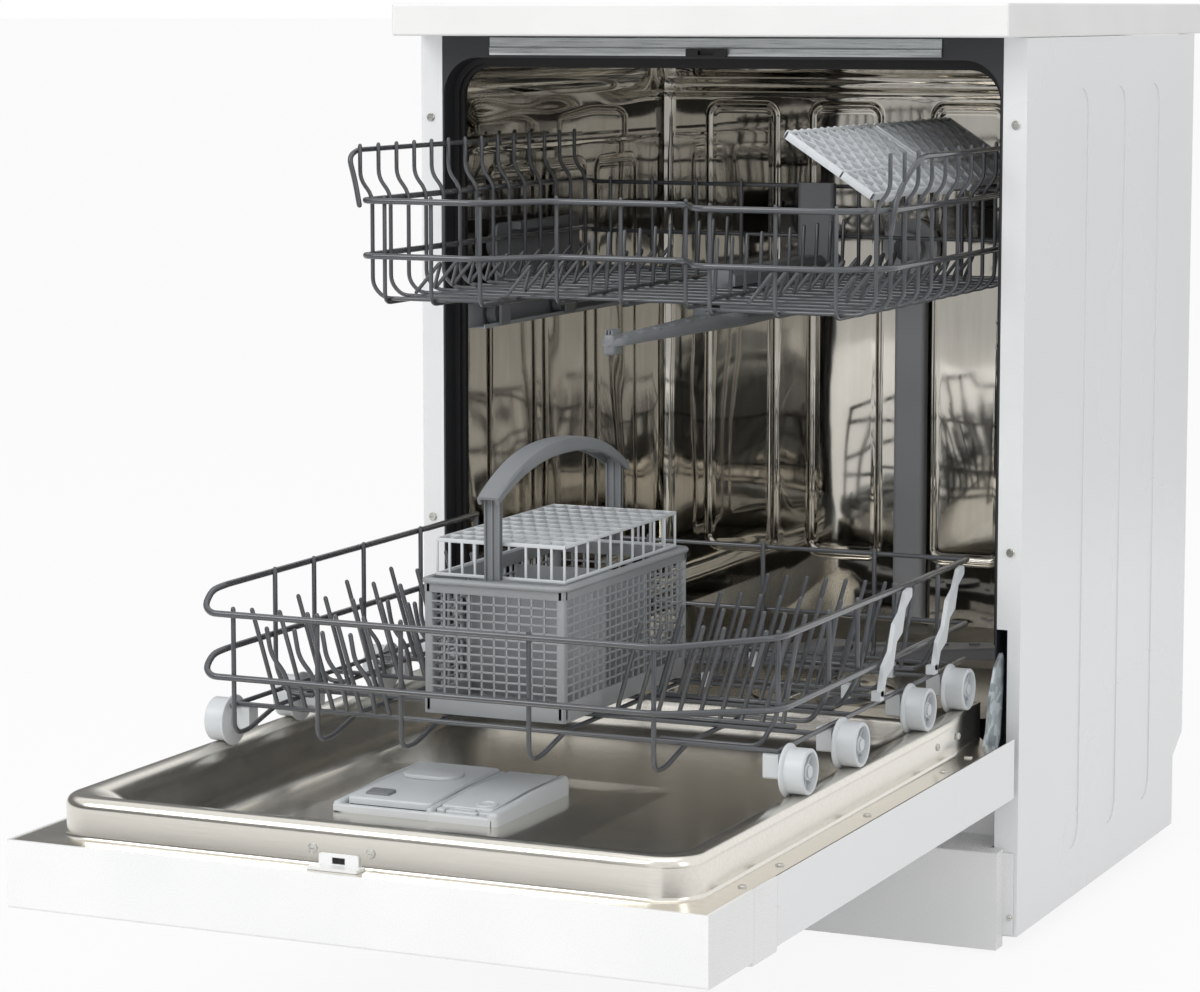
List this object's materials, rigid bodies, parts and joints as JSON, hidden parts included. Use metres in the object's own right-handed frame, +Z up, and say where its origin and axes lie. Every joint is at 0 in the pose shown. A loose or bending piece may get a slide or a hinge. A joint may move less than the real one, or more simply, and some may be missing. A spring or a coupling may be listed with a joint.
{
  "type": "freestanding dishwasher",
  "caption": "Freestanding dishwasher with a drop-down door, pull-out wire racks, a cutlery basket and spray arms.",
  "frame": {"origin": "centre of the bounding box at the floor, with the door down", "axes": "+Z up, -Y the way the door opens, +X to the right of a person who faces the machine"},
  "size_m": [0.6, 1.29, 0.85],
  "materials": {
    "white_steel": "gloss",
    "white_worktop": "satin",
    "white_plastic": "gloss",
    "galvanised": "satin",
    "base_plastic": "matte",
    "dark_paint": "satin",
    "trim_metal": "satin",
    "black_plastic": "matte",
    "seal_rubber": "matte",
    "tub_steel": "polished",
    "liner_steel": "satin",
    "duct_plastic": "satin",
    "grey_plastic": "satin",
    "light_grey_plastic": "satin",
    "basket_plastic": "satin",
    "coated_wire": "satin",
    "screw_steel": "polished"
  },
  "bodies": {
    "cabinet": {"worktop": "white_worktop", "side_panel_left": "white_steel", "side_panel_right": "white_steel", "back_panel": "galvanised", "base_tray": "base_plastic", "leveling_feet": "black_plastic", "plinth": "white_plastic", "front_frame": "dark_paint", "top_trim": "trim_metal", "door_latch": "black_plastic", "tub_gasket": "seal_rubber", "tub_wrap": "tub_steel", "tub_back": "tub_steel", "tub_floor": "liner_steel", "upper_rails": "duct_plastic", "feed_pipe": "duct_plastic", "sump": "base_plastic", "filter_plate": "liner_steel", "pumps": "black_plastic", "hose_spigots": "light_grey_plastic", "case_screws": "screw_steel"},
    "door": {"door_panel": "white_steel", "control_fascia": "white_plastic", "fascia_strip": "white_plastic", "door_liner": "liner_steel", "door_strike": "white_plastic", "dispenser_body": "light_grey_plastic", "door_screws": "screw_steel", "hinge_arms": "galvanised"},
    "power_key": {"power_button": "white_plastic"},
    "start_key": {"start_button": "white_plastic"},
    "soap_lid": {"dispenser_lid": "light_grey_plastic"},
    "rinse_plug": {"rinse_cap": "light_grey_plastic"},
    "lower_rack": {"lower_rack_frame": "coated_wire", "fixed_tines": "coated_wire", "wheel_brackets": "light_grey_plastic", "rack_clips": "light_grey_plastic"},
    "fold_row_front": {"tine_row_front": "coated_wire"},
    "fold_row_rear": {"tine_row_rear": "coated_wire"},
    "cutlery": {"cutlery_basket": "basket_plastic", "cutlery_handle": "basket_plastic"},
    "cutlery_cover": {"cutlery_lid": "light_grey_plastic"},
    "upper_rack": {"upper_rack_frame": "coated_wire", "upper_feed": "grey_plastic", "rack_adjusters": "grey_plastic", "rack_rollers": "grey_plastic"},
    "cup_shelf_front": {"cup_shelf_front": "light_grey_plastic"},
    "cup_shelf_rear": {"cup_shelf_rear": "light_grey_plastic"},
    "upper_arm": {"upper_spray_arm": "grey_plastic"},
    "lower_arm": {"lower_spray_arm": "grey_plastic"},
    "filter": {"filter_cup": "grey_plastic"},
    "salt_cap": {"salt_cap": "grey_plastic"},
    "wheel_left_1_body": {"wheel_left_1": "light_grey_plastic"},
    "wheel_right_1_body": {"wheel_right_1": "light_grey_plastic"},
    "wheel_left_2_body": {"wheel_left_2": "light_grey_plastic"},
    "wheel_right_2_body": {"wheel_right_2": "light_grey_plastic"},
    "wheel_left_3_body": {"wheel_left_3": "light_grey_plastic"},
    "wheel_right_3_body": {"wheel_right_3": "light_grey_plastic"},
    "wheel_left_4_body": {"wheel_left_4": "light_grey_plastic"},
    "wheel_right_4_body": {"wheel_right_4": "light_grey_plastic"}
  },
  "joints": [
    {"name": "a_door_hinge", "type": "hinge", "parent": "cabinet", "child": "door", "pos_m": [0, 0.0265, 0.1475], "axis": [-1, 0, 0], "range_deg": [0, 12]},
    {"name": "basket_lower_slide", "type": "slide", "parent": "door", "child": "lower_rack", "axis": [0, -1, 0], "range_m": [-0.497, 0]},
    {"name": "basket_upper_slide", "type": "slide", "parent": "cabinet", "child": "upper_rack", "axis": [0, 1, 0], "range_m": [-0.02, 0.225]},
    {"name": "cup_shelf_front_fold", "type": "hinge", "parent": "upper_rack", "child": "cup_shelf_front", "pos_m": [0.226, -0.015, 0.684], "axis": [0, 1, 0], "range_deg": [-33, 45]},
    {"name": "cup_shelf_rear_fold", "type": "hinge", "parent": "upper_rack", "child": "cup_shelf_rear", "pos_m": [0.226, 0.201, 0.684], "axis": [0, 1, 0], "range_deg": [-33, 45]},
    {"name": "cutlery_basket_lift", "type": "slide", "parent": "lower_rack", "child": "cutlery", "axis": [0, 0, 1], "range_m": [0, 0.06]},
    {"name": "cutlery_lid_hinge", "type": "hinge", "parent": "cutlery", "child": "cutlery_cover", "pos_m": [0.0495, -0.236, 0.38], "axis": [0, 1, 0], "range_deg": [0, 25]},
    {"name": "dispenser_lid_slide", "type": "slide", "parent": "door", "child": "soap_lid", "axis": [0, 1, 0], "range_m": [0, 0.06]},
    {"name": "filter_twist", "type": "hinge", "parent": "cabinet", "child": "filter", "pos_m": [0.034, 0.343, 0.15], "axis": [0, 0, 1], "range_deg": [0, 60]},
    {"name": "fold_row_front_hinge", "type": "hinge", "parent": "lower_rack", "child": "fold_row_front", "pos_m": [0.147, -0.123, 0.2667], "axis": [1, 0, 0], "range_deg": [0, 78]},
    {"name": "fold_row_rear_hinge", "type": "hinge", "parent": "lower_rack", "child": "fold_row_rear", "pos_m": [0.147, -0.013, 0.2667], "axis": [1, 0, 0], "range_deg": [0, 78]},
    {"name": "power_press", "type": "slide", "parent": "door", "child": "power_key", "axis": [0, 0, 1], "range_m": [0, 0.0015], "stiffness_N_per_m": 600},
    {"name": "rinse_plug_twist", "type": "hinge", "parent": "door", "child": "rinse_plug", "pos_m": [0.002, -0.401, 0.197], "axis": [0, 0, 1], "range_deg": [0, 90]},
    {"name": "salt_cap_twist", "type": "hinge", "parent": "cabinet", "child": "salt_cap", "pos_m": [-0.15, 0.267, 0.165], "axis": [0, 0, 1], "range_deg": [0, 90]},
    {"name": "spray_arm_lower_spin", "type": "hinge", "parent": "cabinet", "child": "lower_arm", "pos_m": [0, 0.385, 0.2], "axis": [0, 0, 1], "continuous": true},
    {"name": "spray_arm_upper_spin", "type": "hinge", "parent": "upper_rack", "child": "upper_arm", "pos_m": [0.005, 0.085, 0.562], "axis": [0, 0, 1], "continuous": true},
    {"name": "start_press", "type": "slide", "parent": "door", "child": "start_key", "axis": [0, 0, 1], "range_m": [0, 0.0015], "stiffness_N_per_m": 600},
    {"name": "wheel_left_1_spin", "type": "hinge", "parent": "lower_rack", "child": "wheel_left_1_body", "pos_m": [-0.262, -0.369, 0.24655], "axis": [1, 0, 0], "range_deg": [-1542, 2]},
    {"name": "wheel_right_1_spin", "type": "hinge", "parent": "lower_rack", "child": "wheel_right_1_body", "pos_m": [0.262, -0.369, 0.24655], "axis": [1, 0, 0], "range_deg": [-1542, 2]},
    {"name": "wheel_left_2_spin", "type": "hinge", "parent": "lower_rack", "child": "wheel_left_2_body", "pos_m": [-0.262, -0.251, 0.24655], "axis": [1, 0, 0], "range_deg": [-1542, 2]},
    {"name": "wheel_right_2_spin", "type": "hinge", "parent": "lower_rack", "child": "wheel_right_2_body", "pos_m": [0.262, -0.251, 0.24655], "axis": [1, 0, 0], "range_deg": [-1542, 2]},
    {"name": "wheel_left_3_spin", "type": "hinge", "parent": "lower_rack", "child": "wheel_left_3_body", "pos_m": [-0.262, -0.085, 0.24655], "axis": [1, 0, 0], "range_deg": [-1542, 2]},
    {"name": "wheel_right_3_spin", "type": "hinge", "parent": "lower_rack", "child": "wheel_right_3_body", "pos_m": [0.262, -0.085, 0.24655], "axis": [1, 0, 0], "range_deg": [-1542, 2]},
    {"name": "wheel_left_4_spin", "type": "hinge", "parent": "lower_rack", "child": "wheel_left_4_body", "pos_m": [-0.262, 0.02, 0.24655], "axis": [1, 0, 0], "range_deg": [-1542, 2]},
    {"name": "wheel_right_4_spin", "type": "hinge", "parent": "lower_rack", "child": "wheel_right_4_body", "pos_m": [0.262, 0.02, 0.24655], "axis": [1, 0, 0], "range_deg": [-1542, 2]}
  ],
  "couplings": [
    {"joint": "wheel_left_1_spin", "follows": "basket_lower_slide", "rad_per_m": 54.054},
    {"joint": "wheel_right_1_spin", "follows": "basket_lower_slide", "rad_per_m": 54.054},
    {"joint": "wheel_left_2_spin", "follows": "basket_lower_slide", "rad_per_m": 54.054},
    {"joint": "wheel_right_2_spin", "follows": "basket_lower_slide", "rad_per_m": 54.054},
    {"joint": "wheel_left_3_spin", "follows": "basket_lower_slide", "rad_per_m": 54.054},
    {"joint": "wheel_right_3_spin", "follows": "basket_lower_slide", "rad_per_m": 54.054},
    {"joint": "wheel_left_4_spin", "follows": "basket_lower_slide", "rad_per_m": 54.054},
    {"joint": "wheel_right_4_spin", "follows": "basket_lower_slide", "rad_per_m": 54.054}
  ]
}
